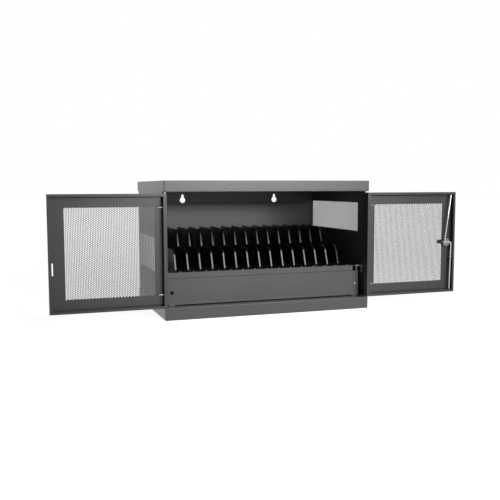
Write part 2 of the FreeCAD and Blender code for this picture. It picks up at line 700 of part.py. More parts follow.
def door_pan(sign, side):
    """Folded pan with return lips, hinge pin holes and a window for its perforated field."""
    reach = DOOR_REACH[sign]
    high = (DOOR_LOW, DOOR_TOP)
    outer = box("door_outer", door_x(sign, "-hinge_reach", reach), door_y("0", "door_depth"), high)
    hollow = box("door_hollow", door_x(sign, "-hinge_reach + door_sheet", f"{reach} - door_sheet"),
                 door_y("door_sheet", "door_depth - door_sheet"),
                 (f"{DOOR_LOW} + door_sheet", f"{DOOR_TOP} - door_sheet"))
    mouth = box("door_mouth", door_x(sign, "-hinge_reach + hinge_lip", f"{reach} - door_lip"),
                door_y("door_depth - 2*door_sheet", "door_depth + door_sheet"),
                (f"{DOOR_LOW} + door_lip", f"{DOOR_TOP} - door_lip"))
    window_low = f"{DOOR_LOW} + window_rail"
    window_x = door_x(sign, "-hinge_reach + hinge_stile", f"{DOOR_REACH[RIGHT]} - free_stile")
    window = box("door_window", window_x, door_y("-door_sheet", "2*door_sheet"),
                 (window_low, f"{DOOR_TOP} - window_rail"))
    pins = pin_hole("door_pin_hole", sign, (f"{DOOR_LOW} - door_sheet", f"{DOOR_TOP} + door_sheet"))
    openings = [hollow, mouth, window, pins]
    if sign == LEFT:
        slot_u = f"({reach} - slot_from_edge)"
        openings.append(box("hasp_slot", door_x(sign, *middle(slot_u, "slot_width")),
                            door_y("-door_sheet", "2*door_sheet"),
                            (f"{DOOR_MIDDLE} - slot_drop", f"{DOOR_MIDDLE} - slot_drop + slot_height")))
    else:
        openings.append(bar("lock_hole", "y", (LOCK_X, DOOR_MIDDLE), door_y("-door_sheet", "2*door_sheet"),
                            "lock_body_radius + fit_gap"))
        openings.append(rod_slot("upper_rod_slot", UPPER_GUIDE_U,
                                 (f"{DOOR_TOP} - 2*door_sheet", f"{DOOR_TOP} + door_sheet")))
        openings.append(rod_slot("lower_rod_slot", LOWER_GUIDE_U,
                                 (f"{DOOR_LOW} - door_sheet", f"{DOOR_LOW} + 2*door_sheet")))
    node(f"{side}_door", cut(f"{side}_door", bend_edges("door_bent", outer, "door_bend"), *openings))

    grille = doc.addObject("Part::Feature", f"{side}_door_grille")
    doc.recompute()
    grille.Shape = holed_sheet(window.Length.Value, window.Height.Value, size("door_sheet"))
    grille.setExpression("Placement.Base.x", tie(window_x[0]))
    grille.setExpression("Placement.Base.y", tie(f"{SKIN_Y} - door_sheet"))
    grille.setExpression("Placement.Base.z", tie(window_low))
    node(f"{side}_door_grille", grille)


def hinge_pins(sign, side):
    """Two L-shaped pins that slide in guides, so that the door lifts off when they are drawn."""
    pivot_x = at_side(sign, PIVOT_X)
    guides = []
    ends = (
        ("top", f"({DOOR_TOP} - pin_drop)", f"({LID_LOW} + pin_engage)",
         f"({DOOR_TOP} - guide_drop - guide_height)"),
        ("bottom", f"({DOOR_LOW} + pin_drop)", "(plinth_height - pin_engage)", f"({DOOR_LOW} + guide_drop)"),
    )
    for end, tail_z, tip_z, guide_low in ends:
        block = box("guide_block", door_x(sign, "-hinge_reach + door_sheet", "guide_side"),
                    door_y("door_sheet", "pivot_depth + guide_side"),
                    (guide_low, f"{guide_low} + guide_height"))
        hole_span = (f"{guide_low} - guide_height", f"{guide_low} + 2*guide_height")
        guides.append(cut("pin_guide", block, pin_hole("guide_hole", sign, hole_span)))
        leg_span = (tail_z, tip_z) if end == "top" else (tip_z, tail_z)
        leg = bar("pin_leg", "z", (pivot_x, PIVOT_Y), leg_span, "pin_radius")
        tail = bar("pin_tail_bar", "x", (PIVOT_Y, tail_z), door_x(sign, "0", "pin_tail"), "pin_radius")
        bend = ball("pin_bend", pivot_x, PIVOT_Y, tail_z, "pin_radius")
        node(f"{side}_{end}_pin", join(f"{side}_{end}_pin", leg, tail, bend))
    node(f"{side}_pin_guides", group(f"{side}_pin_guides", *guides))


def lock_bar(name, span, radius):
    """A round piece on the lock's axis, measured inwards from the door's skin."""
    return bar(name, "y", (LOCK_X, DOOR_MIDDLE), door_y(*span), radius)


def lock_body():
    rose = lock_bar("rose_disc", ("-rose_thickness", "0"), "rose_radius")
    body = lock_bar("rose_body", ("0", "lock_body_inside"), "lock_body_radius")
    bore = lock_bar("rose_bore", ("-2*rose_thickness", "2*lock_body_inside"), "barrel_radius + running_gap")
    node("lock_rose", cut("lock_rose", join("rose_solid", rose, body), bore))

    nut = doc.addObject("Part::Prism", "nut_solid")
    nut.Polygon = 6
    nut.Placement = Placement(Vector(), TURN_TO["y"])
    nut.setExpression("Circumradius", tie("nut_radius"))
    nut.setExpression("Height", tie("nut_thickness"))
    nut.setExpression("Placement.Base.x", tie(LOCK_X))
    nut.setExpression("Placement.Base.y", tie(f"{SKIN_Y} - door_sheet - nut_thickness"))
    nut.setExpression("Placement.Base.z", tie(DOOR_MIDDLE))
    nut_bore = lock_bar("nut_bore", ("0", "3*nut_thickness"), "lock_body_radius + fit_gap")
    node("lock_nut", cut("lock_nut", nut, nut_bore))


HUB_FACE = "(rose_thickness + face_gap)"
GRIP_FACE = f"({HUB_FACE} + hub_length)"
GRIP_OUT = f"({GRIP_FACE} + 2*grip_radius + boss_proud)"


def locking_handle():
    """T-handle with its barrel, and the key plug in its middle."""
    barrel = lock_bar("handle_barrel", (f"-{HUB_FACE}", "cam_level"), "barrel_radius")
    hub = lock_bar("handle_hub", (f"-{GRIP_FACE}", f"-{HUB_FACE}"), "hub_radius")
    boss = lock_bar("handle_boss", (f"-{GRIP_OUT}", f"-{GRIP_FACE}"), "boss_radius")
    grip_y = f"{SKIN_Y} + {GRIP_FACE} + grip_radius"
    grip_end = "(grip_half - grip_radius)"
    grip_x = (f"{LOCK_X} - {grip_end}", f"{LOCK_X} + {grip_end}")
    grip = bar("handle_grip", "x", (grip_y, DOOR_MIDDLE), grip_x, "grip_radius")
    grip_ends = [ball("grip_end", x, grip_y, DOOR_MIDDLE, "grip_radius") for x in grip_x]
    plug_floor = f"({GRIP_OUT} - plug_length)"
    plug_bore = lock_bar("plug_bore", (f"-{GRIP_OUT} - plug_length", f"-{plug_floor}"),
                         "plug_radius + running_gap")
    screw_bore = lock_bar("handle_screw_bore", ("cam_level - cam_screw_length", "2*cam_level"),
                          "cam_screw_radius + fit_gap")
    solid = join("handle_solid", barrel, hub, boss, grip, *grip_ends)
    node("t_handle", cut("t_handle", solid, plug_bore, screw_bore))

    plug = lock_bar("plug_solid", (f"-{GRIP_OUT} + fit_gap", f"-{plug_floor} - face_gap"), "plug_radius")
    slot = box("key_slot", middle(LOCK_X, "key_slot_width"),
               door_y(f"-{GRIP_OUT} - key_slot_depth", f"-{GRIP_OUT} + key_slot_depth"),
               middle(DOOR_MIDDLE, "key_slot_length"))
    node("key_plug", cut("key_plug", plug, slot))


CAM_FACE = "(cam_level + cam_thickness)"


def rod_pivot_x(sign):
    return f"({LOCK_X} + {sign}*cam_arm)"


def lock_cam():
    """Cam disc on the barrel's end, its screw and the two rivets that carry the rods."""
    disc = lock_bar("cam_disc", ("cam_level", CAM_FACE), "cam_radius")
    holes = [lock_bar("cam_screw_hole", ("0", "2*cam_level"), "cam_screw_radius + fit_gap")]
    rivets = []
    for sign in (LEFT, RIGHT):
        place = (rod_pivot_x(sign), DOOR_MIDDLE)
        holes.append(bar("cam_rivet_hole", "y", place, door_y("0", "2*cam_level"),
                         "rod_rivet_radius + fit_gap"))
        head_low = f"({EYE_LOW} + eye_thickness + eye_gap)"
        shank = bar("rivet_shank", "y", place, door_y("cam_level", head_low), "rod_rivet_radius")
        head = bar("rivet_head_disc", "y", place, door_y(head_low, f"{head_low} + rod_rivet_head"),
                   "rod_rivet_head_radius")
        rivets.append(join("rod_rivet", shank, head))
    node("lock_cam", cut("lock_cam", disc, *holes))
    node("rod_rivets", group("rod_rivets", *rivets))
    head = lock_bar("cam_screw_disc", (CAM_FACE, f"{CAM_FACE} + cam_screw_head"), "cam_screw_head_radius")
    shank = lock_bar("cam_screw_shank", ("cam_level - cam_screw_length + fit_gap", CAM_FACE),
                     "cam_screw_radius")
    node("cam_screw", join("cam_screw", head, shank))


def leaning_rod(name, start_x, start_z, guide_x, guide_z, end_z):
    """A round rod from a start point, through a guide point, to an end height."""
    made = doc.addObject("Part::Cylinder", name)
    rise = f"(({guide_z}) - ({start_z}))"
    run = f"(({guide_x}) - ({start_x}))"
    made.Placement = Placement(Vector(), Rotation(Vector(0, 1, 0), 1))
    made.setExpression("Placement.Rotation.Angle", tie(f"atan2({run}; {rise})"))
    for letter, place in zip("xyz", (start_x, f"{SKIN_Y} - {ROD_LEVEL}", start_z)):
        made.setExpression(f"Placement.Base.{letter}", tie(place))
    made.setExpression("Height", tie(f"(({end_z}) - ({start_z}))*hypot({run}; {rise})/{rise}"))
    made.setExpression("Radius", tie("rod_radius"))
    return made


def lock_rods():
    """Upper and lower rods hung on the cam's rivets."""
    eye_span = door_y(EYE_LOW, f"{EYE_LOW} + eye_thickness")
    parts = {}
    for name, sign in (("upper", LEFT), ("lower", RIGHT)):
        place = (rod_pivot_x(sign), DOOR_MIDDLE)
        eye = bar(f"{name}_eye", "y", place, eye_span, "eye_radius")
        hole = bar(f"{name}_eye_hole", "y", place, door_y("0", "2*door_depth"),
                   "rod_rivet_radius + running_gap")
        head_room = bar(f"{name}_head_room", "y", place, door_y(f"{EYE_LOW} + eye_thickness", "2*door_depth"),
                        "rod_rivet_head_radius + face_gap")
        parts[name] = (eye, hole, head_room)
    eye, hole, head_room = parts["upper"]
    rod = leaning_rod("upper_rod_bar", rod_pivot_x(LEFT), DOOR_MIDDLE,
                      f"{PIVOT_X} + {UPPER_GUIDE_U}", DOOR_TOP, f"{DOOR_TOP} + rod_upper_proud")
    node("upper_rod", cut("upper_rod", join("upper_rod_solid", eye, rod), hole, head_room))

    eye, hole, head_room = parts["lower"]
    corner_x = f"({rod_pivot_x(RIGHT)} + hook_reach)"
    rod_y = f"{SKIN_Y} - {ROD_LEVEL}"
    hook = bar("lower_hook", "x", (rod_y, DOOR_MIDDLE), (rod_pivot_x(RIGHT), corner_x), "rod_radius")
    bend = ball("lower_bend", corner_x, rod_y, DOOR_MIDDLE, "rod_radius")
    end_z = f"({DOOR_LOW} - rod_lower_proud)"
    guide_x = f"({PIVOT_X} + {LOWER_GUIDE_U})"
    lower_x = f"({guide_x} + ({guide_x} - {corner_x})*rod_lower_proud/({DOOR_MIDDLE} - {DOOR_LOW}))"
    rod = leaning_rod("lower_rod_bar", lower_x, end_z, corner_x, DOOR_MIDDLE, DOOR_MIDDLE)
    node("lower_rod", cut("lower_rod", join("lower_rod_solid", eye, hook, bend, rod), hole, head_room))


def rod_guides():
    """Plastic plates that line the rod slots in the door's top and bottom flanges."""
    guides = []
    places = ((UPPER_GUIDE_U, (f"{DOOR_TOP} - door_sheet - guide_plate", f"{DOOR_TOP} - door_sheet")),
              (LOWER_GUIDE_U, (f"{DOOR_LOW} + door_sheet", f"{DOOR_LOW} + door_sheet + guide_plate")))
    for guide_u, z_span in places:
        plate = box("guide_plate_block", middle(f"{PIVOT_X} + {guide_u}", "guide_plate_length"),
                    middle(f"{SKIN_Y} - {ROD_LEVEL}", "guide_plate_width"), z_span)
        slot_span = (f"{z_span[0]} - guide_plate", f"{z_span[1]} + guide_plate")
        guides.append(cut("rod_guide", plate, rod_slot("guide_slot", guide_u, slot_span)))
    node("rod_guides", group("rod_guides", *guides))


def strike_bracket():
    """Small channel in the corner of the right door's free edge."""
    inside = f"({DOOR_REACH[RIGHT]} - door_sheet)"
    z_span = (f"{DOOR_MIDDLE} - strike_drop", f"{DOOR_MIDDLE} - strike_drop + strike_height")
    on_flange = box("strike_on_flange", door_x(RIGHT, f"{inside} - strike_sheet", inside),
                    door_y("door_sheet", "door_sheet + strike_leg"), z_span)
    tab_x = door_x(RIGHT, f"{inside} - strike_leg", inside)
    tab_y = door_y("door_sheet", "door_sheet + strike_tab")
    upper = box("strike_upper", tab_x, tab_y, (f"{z_span[1]} - strike_sheet", z_span[1]))
    lower = box("strike_lower", tab_x, tab_y, (z_span[0], f"{z_span[0]} + strike_sheet"))
    node("strike_bracket", join("strike_bracket", on_flange, upper, lower))


base_plinth()
lid()
side_panel(LEFT, "left")
side_panel(RIGHT, "right")
back_panel()
shelf()
shelf_channel(LEFT, "left")
shelf_channel(RIGHT, "right")
access_panel()
for number in range(1, BAYS):
    divider(number)
power_strips()
power_inlet()
for sign, side in ((LEFT, "left"), (RIGHT, "right")):
    door_pan(sign, side)
    hinge_pins(sign, side)
lock_body()
locking_handle()
lock_cam()
lock_rods()
rod_guides()
strike_bracket()
doc.recompute()

faults = [item.Label for item in doc.Objects if {"Invalid", "Error"} & set(item.State)]
faults += [item.Label for item in nodes if item.Shape.isNull() or not item.Shape.isValid()]
if faults:
    raise RuntimeError("failed pieces: " + ", ".join(faults))

os.makedirs("parts", exist_ok=True)
for item in nodes:
    item.Shape.exportStep(f"parts/{item.Label}.step")
print(len(nodes), "nodes,", sum(len(item.Shape.Solids) for item in nodes), "solids")
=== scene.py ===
import json
import math

import bmesh
import bpy
from mathutils import Matrix, Vector


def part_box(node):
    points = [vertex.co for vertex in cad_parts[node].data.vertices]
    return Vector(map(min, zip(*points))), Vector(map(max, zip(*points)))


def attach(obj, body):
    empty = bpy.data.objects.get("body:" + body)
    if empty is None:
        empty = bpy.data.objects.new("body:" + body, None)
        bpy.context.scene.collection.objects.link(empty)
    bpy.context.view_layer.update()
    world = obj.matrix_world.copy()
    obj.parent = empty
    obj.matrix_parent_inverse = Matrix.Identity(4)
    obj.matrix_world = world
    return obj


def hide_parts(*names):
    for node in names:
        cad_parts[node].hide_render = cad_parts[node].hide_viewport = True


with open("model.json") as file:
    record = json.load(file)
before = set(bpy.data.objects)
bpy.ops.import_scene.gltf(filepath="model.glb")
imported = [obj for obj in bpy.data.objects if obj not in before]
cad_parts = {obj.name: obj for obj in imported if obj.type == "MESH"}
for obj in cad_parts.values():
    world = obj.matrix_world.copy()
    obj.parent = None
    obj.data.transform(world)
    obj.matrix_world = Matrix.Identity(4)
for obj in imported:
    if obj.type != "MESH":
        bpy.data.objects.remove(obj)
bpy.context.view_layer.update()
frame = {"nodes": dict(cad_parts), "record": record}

scene = bpy.context.scene
scene.view_settings.view_transform = "Standard"

MM = 0.001
SIDES = ("left", "right")
WAYS = (-1, 1)


# Shader nodes

def feed(tree, source, socket):
    """Link a source to a socket, or set the socket to a plain number."""
    if isinstance(source, bpy.types.NodeSocket):
        tree.links.new(source, socket)
    else:
        socket.default_value = source


def mapped(tree, value, span, levels):
    """A strength that goes from one level to the other as a value crosses a span."""
    node = tree.nodes.new("ShaderNodeMapRange")
    names = ("Value", "From Min", "From Max", "To Min", "To Max")
    for name, source in zip(names, (value, *span, *levels)):
        feed(tree, source, node.inputs[name])
    return node.outputs["Result"]


def worked_out(tree, operation, *terms):
    """The result of a math node."""
    node = tree.nodes.new("ShaderNodeMath")
    node.operation = operation
    for term, socket in zip(terms, node.inputs):
        feed(tree, term, socket)
    return node.outputs[0]


def split_up(tree, vector):
    """The outputs X, Y and Z of a vector."""
    node = tree.nodes.new("ShaderNodeSeparateXYZ")
    tree.links.new(vector, node.inputs["Vector"])
    return node.outputs


# Materials

NOISE_STOPS = (0.3, 0.7)
TOP_SKIN = (0.4 * MM, 0.1 * MM)
SATIN = 0.30


class Finish:
    """A material under construction: one surface shader and the nodes that feed it."""

    def __init__(self, name, roughness, metallic=0.0, specular=0.5):
        self.material = bpy.data.materials.new(name)
        self.material.use_nodes = True
        self.tree = self.material.node_tree
        self.surface = self.tree.nodes["Principled BSDF"]
        self.surface.inputs["Roughness"].default_value = roughness
        self.surface.inputs["Metallic"].default_value = metallic
        self.surface.inputs["Specular IOR Level"].default_value = specular
        self.place = self.tree.nodes.new("ShaderNodeTexCoord").outputs["Object"]

    def link(self, source, target):
        self.tree.links.new(source, target)

    def stretched(self, scale):
        """Object coordinates, drawn out along some axes."""
        mapping = self.tree.nodes.new("ShaderNodeMapping")
        mapping.inputs["Scale"].default_value = scale
        self.link(self.place, mapping.inputs["Vector"])
        return mapping.outputs["Vector"]

    def noise(self, scale, detail, vector=None):
        texture = self.tree.nodes.new("ShaderNodeTexNoise")
        texture.inputs["Scale"].default_value = scale
        texture.inputs["Detail"].default_value = detail
        self.link(vector or self.place, texture.inputs["Vector"])
        return texture.outputs["Fac"]

    def shaded(self, factor, colour, shares, stops=NOISE_STOPS):
        """A colour that a factor takes from one share of itself to another between two stops."""
        ramp = self.tree.nodes.new("ShaderNodeValToRGB")
        for element, stop, share in zip(ramp.color_ramp.elements, stops, shares):
            element.position = stop
            element.color = (*(part * share for part in colour), 1.0)
        self.link(factor, ramp.inputs["Fac"])
        return ramp.outputs["Color"]

    def spread(self, factor, low, high):
        """A factor brought into the span from low to high."""
        return mapped(self.tree, factor, (0.0, 1.0), (low, high))

    def flat_top(self, level):
        """A factor that is one on what lies flat at a level, and nought below it."""
        height = split_up(self.tree, self.place)["Z"]
        return mapped(self.tree, height, [level - skin for skin in TOP_SKIN], (0.0, 1.0))

    def dimmed(self, colour, factor, share):
        """A colour brought down to a share of itself where a factor is one."""
        veil = self.shaded(factor, grey(1.0), (1.0, share), stops=(0.0, 1.0))
        mix = self.tree.nodes.new("ShaderNodeMix")
        mix.data_type = "RGBA"
        mix.blend_type = "MULTIPLY"
        mix.inputs["Factor"].default_value = 1.0
        self.link(colour, mix.inputs[6])
        self.link(veil, mix.inputs[7])
        return mix.outputs[2]

    def colour(self, source):
        self.link(source, self.surface.inputs["Base Color"])

    def roughness(self, source):
        self.link(source, self.surface.inputs["Roughness"])

    def bump(self, height, distance):
        bump = self.tree.nodes.new("ShaderNodeBump")
        bump.inputs["Strength"].default_value = 1.0
        bump.inputs["Distance"].default_value = distance
        self.link(height, bump.inputs["Height"])
        self.link(bump.outputs["Normal"], self.surface.inputs["Normal"])


def grey(value):
    return (value, value, value)


def powder_coat(name, shade, level, top_shade_share=1.0, top_roughness=SATIN):
    """Satin powder coat with a fine orange peel, a faint mottle and a top of its own at a level,
    which can be rougher and can be darkened there as painted shade.
    """
    finish = Finish(name, roughness=SATIN)
    coat = finish.shaded(finish.noise(scale=9.0, detail=4.0), grey(shade), (0.94, 1.06))
    satin = finish.spread(finish.noise(scale=14.0, detail=1.0), SATIN - 0.015, SATIN + 0.015)
    top = finish.flat_top(level)
    # Painted shade: where the top's share is below one, the colour of the top is darkened.
    finish.colour(finish.dimmed(coat, top, top_shade_share))
    finish.roughness(finish.spread(top, satin, top_roughness))
    finish.bump(finish.noise(scale=900.0, detail=1.0), distance=0.012 * MM)
    return finish.material


def zinc_plate(name, shade, grain_scale, roughness):
    """Zinc plate with drawing lines along its grain."""
    finish = Finish(name, roughness=roughness, metallic=1.0)
    grain = finish.noise(scale=1.0, detail=3.0, vector=finish.stretched(grain_scale))
    finish.colour(finish.shaded(grain, grey(shade), (0.86, 1.0)))
    finish.roughness(finish.spread(grain, roughness - 0.06, roughness + 0.06))
    finish.bump(grain, distance=0.01 * MM)
    return finish.material


def moulded_plastic(name, colour, roughness, grain=1400.0, depth=0.03 * MM, specular=0.5):
    """Moulded plastic with a fine spark-eroded grain."""
    finish = Finish(name, roughness=roughness, specular=specular)
    cloud = finish.noise(scale=22.0, detail=3.0)
    finish.colour(finish.shaded(cloud, colour, (0.85, 1.15)))
    finish.roughness(finish.spread(cloud, roughness - 0.05, roughness + 0.05))
    finish.bump(finish.noise(scale=grain, detail=1.0), depth)
    return finish.material


CASE_SHADE = 0.062
DOOR_SHADE = 0.039
SHEET_GRAIN = (200.0, 12.0, 200.0)
ROD_GRAIN = (500.0, 500.0, 30.0)

FINISHES = {
    "case_paint": powder_coat("case_paint", CASE_SHADE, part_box("lid")[1].z, top_roughness=0.95),
    "door_paint": powder_coat("door_paint", DOOR_SHADE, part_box("left_door")[1].z),
    "plated_sheet": zinc_plate("plated_sheet", 0.68, SHEET_GRAIN, 0.40),
    "plated_hardware": zinc_plate("plated_hardware", 0.60, ROD_GRAIN, 0.34),
    "black_hardware": moulded_plastic("black_hardware", grey(0.004), 0.60, grain=700.0,
                                      depth=0.02 * MM, specular=0.06),
    "divider_plastic": moulded_plastic("divider_plastic", grey(0.006), 0.26, specular=1.0),
    "guide_plastic": moulded_plastic("guide_plastic", grey(0.014), 0.40),
    "strip_plastic": moulded_plastic("strip_plastic", grey(0.016), 0.45),
    "outlet_plastic": moulded_plastic("outlet_plastic", grey(0.035), 0.35),
    "button_plastic": moulded_plastic("button_plastic", (0.42, 0.012, 0.010), 0.25),
}

for subpart in frame["record"]["subparts"]:
    node = frame["nodes"][subpart["node"]]
    node.data.materials.clear()
    node.data.materials.append(FINISHES[subpart["material_slot"]])

# The shelf's top is darkened to a small share of its colour as painted shade. The cam is duller
# than other plated hardware, as the right screw is.
shelf_paint_painted_shade = powder_coat("shelf_paint_painted_shade", CASE_SHADE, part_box("shelf")[1].z, top_shade_share=0.12)
dull_plate = zinc_plate("dull_plate", 0.24, ROD_GRAIN, 0.40)
frame["nodes"]["shelf"].data.materials[0] = shelf_paint_painted_shade
frame["nodes"]["lock_cam"].data.materials[0] = dull_plate


# Pieces

SHARP_ANGLE = math.radians(40.0)


def set_piece(name, bm, body, slot, nodes):
    """Turn a finished bmesh into a piece that stands for CAD nodes and moves with their body."""
    mesh = bpy.data.meshes.new(name)
    bm.to_mesh(mesh)
    bm.free()
    mesh.polygons.foreach_set("use_smooth", [True] * len(mesh.polygons))
    mesh.set_sharp_from_angle(angle=SHARP_ANGLE)
    mesh.materials.append(FINISHES[slot])
    piece = bpy.data.objects.new(name, mesh)
    scene.collection.objects.link(piece)
    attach(piece, body)
    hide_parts(*nodes)
    return piece


def everything(bm):
    return bm.verts[:] + bm.edges[:] + bm.faces[:]


def only_verts(geometry):
    return [part for part in geometry if isinstance(part, bmesh.types.BMVert)]


def ring_edges(geometry):
    """The edges that run between the vertices of one end of an extrusion."""
    ends = set(only_verts(geometry))
    return [part for part in geometry
            if isinstance(part, bmesh.types.BMEdge) and set(part.verts) <= ends]


def bevelled(bm, edges, offset, segments):
    bmesh.ops.bevel(bm, geom=edges, offset=offset, offset_type="OFFSET", segments=segments,
                    profile=0.5, affect="EDGES", material=-1)


# Perforated sheets of the doors and vents

HOLE_PITCH = 5.3 * MM
DOOR_STRAND = 1.4 * MM
VENT_STRAND = 1.7 * MM
HOLE_MARGIN = 0.4 * MM
MESH_THICKNESS = 0.8 * MM
CELL_SEAM = 0.02 * MM
HOLE_SLACK = 0.05 * MM
FINE_SEAM = 0.001 * MM
UPRIGHT_ON_X = Matrix.Rotation(math.pi / 2, 4, "X")
UPRIGHT_ON_Y = Matrix.Rotation(math.pi / 2, 4, "Z") @ UPRIGHT_ON_X


def copied(bm, count, step, stagger):
    """Repeat what there is along a step, with each second copy moved over by the stagger."""
    cell = everything(bm)
    for number in range(1, count):
        copy = bmesh.ops.duplicate(bm, geom=cell)["geom"]
        bmesh.ops.translate(bm, vec=Vector(step) * number + Vector(stagger) * (number % 2),
                            verts=only_verts(copy))


def perforated_sheet(across, tall, strand):
    """A sheet on X and Y with whole six-sided holes in staggered columns, fitted to its edges."""
    column_step = HOLE_PITCH * math.sqrt(3) / 2
    half_cell = HOLE_PITCH / math.sqrt(3)
    columns = int((across - 2 * HOLE_MARGIN - 2 * half_cell) / column_step) + 1
    levels = int((tall - 2 * HOLE_MARGIN) / HOLE_PITCH - 0.5)
    field = Vector(((columns - 1) * column_step + 2 * half_cell, (levels + 0.5) * HOLE_PITCH))
    fit = Vector(((across - 2 * HOLE_MARGIN) / field.x, (tall - 2 * HOLE_MARGIN) / field.y, 1.0))
    bm = bmesh.new()
    corner = Matrix.Translation((half_cell - 2 * column_step, -0.5 * HOLE_PITCH, 0))
    bmesh.ops.create_circle(bm, cap_ends=True, segments=6, radius=half_cell,
                            matrix=corner @ Matrix.Rotation(math.pi / 6, 4, "Z"))
    copied(bm, levels + 2, (0, HOLE_PITCH, 0), (0, 0, 0))
    copied(bm, columns + 4, (column_step, 0, 0), (0, HOLE_PITCH / 2, 0))
    bmesh.ops.remove_doubles(bm, verts=bm.verts[:], dist=CELL_SEAM)
    bmesh.ops.scale(bm, vec=fit, verts=bm.verts[:])
    bmesh.ops.translate(bm, vec=(HOLE_MARGIN, HOLE_MARGIN, 0), verts=bm.verts[:])

    def inside(vert):
        return (HOLE_MARGIN - HOLE_SLACK < vert.co.x < across - HOLE_MARGIN + HOLE_SLACK
                and HOLE_MARGIN - HOLE_SLACK < vert.co.y < tall - HOLE_MARGIN + HOLE_SLACK)

    holes = [face for face in bm.faces if all(inside(vert) for vert in face.verts)]
    bmesh.ops.inset_individual(bm, faces=holes, thickness=strand / 2, use_even_offset=True)
    bmesh.ops.delete(bm, geom=holes, context="FACES")
    sides = (((0, 0, 0), (-1, 0, 0)), ((across, 0, 0), (1, 0, 0)),
             ((0, 0, 0), (0, -1, 0)), ((0, tall, 0), (0, 1, 0)))
    for point, outwards in sides:
        bmesh.ops.bisect_plane(bm, geom=everything(bm), dist=FINE_SEAM,
                               plane_co=point, plane_no=outwards, clear_outer=True)
    bmesh.ops.recalc_face_normals(bm, faces=bm.faces[:])
    bmesh.ops.solidify(bm, geom=bm.faces[:], thickness=MESH_THICKNESS)
    bmesh.ops.recalc_face_normals(bm, faces=bm.faces[:])
    return bm


def fit_to_box(bm, turn, node):
    """Turn a flat sheet upright and bring it into the box of a CAD node."""
    bmesh.ops.transform(bm, matrix=turn, verts=bm.verts[:])
    low = Vector([min(vert.co[axis] for vert in bm.verts) for axis in range(3)])
    bmesh.ops.translate(bm, vec=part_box(node)[0] - low, verts=bm.verts[:])


for side in SIDES:
    node = f"{side}_door_grille"
    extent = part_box(node)[1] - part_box(node)[0]
    field = perforated_sheet(extent.x, extent.z, DOOR_STRAND)
    fit_to_box(field, UPRIGHT_ON_X, node)
    set_piece(f"{side}_door_mesh", field, f"{side}_door", "door_paint", [node])

    node = f"vent_grille_{side}"
    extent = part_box(node)[1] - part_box(node)[0]
    field = perforated_sheet(extent.y, extent.z, VENT_STRAND)
    fit_to_box(field, UPRIGHT_ON_Y, node)
    set_piece(f"{side}_vent_mesh", field, "cabinet", "plated_sheet", [node])


# Turned pieces and bent rods, with their sizes in millimetres

ALONG_Y = (0, 1, 0)
ROD_SEGMENTS = 24
BEND_STEPS = 7
ROD_CHAMFER = 0.25


def turned(profile, segments=36):
    """A turned piece round Z, from a profile of radii and heights."""
    bm = bmesh.new()
    verts = [bm.verts.new((radius * MM, 0, height * MM)) for radius, height in profile]
    edges = [bm.edges.new(pair) for pair in zip(verts, verts[1:])]
    bmesh.ops.spin(bm, geom=verts + edges, cent=(0, 0, 0), axis=(0, 0, 1), angle=2 * math.pi,
                   steps=segments, use_merge=True)
    bmesh.ops.remove_doubles(bm, verts=bm.verts[:], dist=FINE_SEAM)
    bmesh.ops.recalc_face_normals(bm, faces=bm.faces[:])
    return bm


def placed(bm, place, axis):
    """Point a piece's Z along an axis and bring it to a place."""
    turn = Vector(axis).to_track_quat("Z", "Y").to_matrix().to_4x4()
    bmesh.ops.transform(bm, matrix=Matrix.Translation(Vector(place) * MM) @ turn,
                        verts=bm.verts[:])
    return bm


def together(*parts):
    """One bmesh that holds several finished ones."""
    whole = bmesh.new()
    for part in parts:
        mesh = bpy.data.meshes.new("part")
        part.to_mesh(mesh)
        part.free()
        whole.from_mesh(mesh)
        bpy.data.meshes.remove(mesh)
    return whole


def bent_rod(path, radius, bend):
    """A round rod along a path, with bent corners and chamfered ends."""
    points = [Vector(point) * MM for point in path]
    runs = [(after - before).normalized() for before, after in zip(points, points[1:])]
    bm = bmesh.new()
    start = Matrix.Translation(points[0]) @ runs[0].to_track_quat("Z", "Y").to_matrix().to_4x4()
    bmesh.ops.create_circle(bm, cap_ends=True, segments=ROD_SEGMENTS, radius=radius * MM,
                            matrix=start)
    first = bm.edges[:]
    ring = first
    place = points[0]
    for number, run in enumerate(runs):
        target = points[number + 1]
        following = runs[number + 1] if number + 1 < len(runs) else None
        if following:
            turn = run.angle(following)
            target = target - run * bend * MM * math.tan(turn / 2)
        drawn = bmesh.ops.extrude_edge_only(bm, edges=ring)["geom"]
        bmesh.ops.translate(bm, vec=target - place, verts=only_verts(drawn))
        ring = ring_edges(drawn)
        place = target
        if following:
            axis = run.cross(following).normalized()
            centre = place + axis.cross(run) * bend * MM
            drawn = bmesh.ops.spin(bm, geom=only_verts(drawn) + ring, cent=centre, axis=axis,
                                   angle=turn, steps=BEND_STEPS)["geom_last"]
            ring = ring_edges(drawn)
            place = centre + Matrix.Rotation(turn, 3, axis) @ (place - centre)
    bmesh.ops.holes_fill(bm, edges=ring)
    bmesh.ops.recalc_face_normals(bm, faces=bm.faces[:])
    bevelled(bm, first + ring, ROD_CHAMFER * radius * MM, segments=2)
    return bm


# Hinge pins, each bent into an L

PIN_BEND = 4.0


def hinge_pin(side, end):
    """An L-shaped pin, drawn in by its bent tail."""
    node = f"{side}_{end}_pin"
    low, high = (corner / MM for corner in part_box(node))
    radius = (high.y - low.y) / 2
    pivot_x, tail_x = (high.x - radius, low.x) if side == "left" else (low.x + radius, high.x)
    tip_z, tail_z = (high.z, low.z + radius) if end == "top" else (low.z, high.z - radius)
    y = (low.y + high.y) / 2
    rod = bent_rod([(pivot_x, y, tip_z), (pivot_x, y, tail_z), (tail_x, y, tail_z)], radius,
                   PIN_BEND)
    set_piece(f"{side}_{end}_bent_pin", rod, node, "plated_hardware", [node])


for side in SIDES:
    for end in ("top", "bottom"):
        hinge_pin(side, end)

# The lock on the right door: two rods, each with a flat eye on its pivot, a collar and a handle

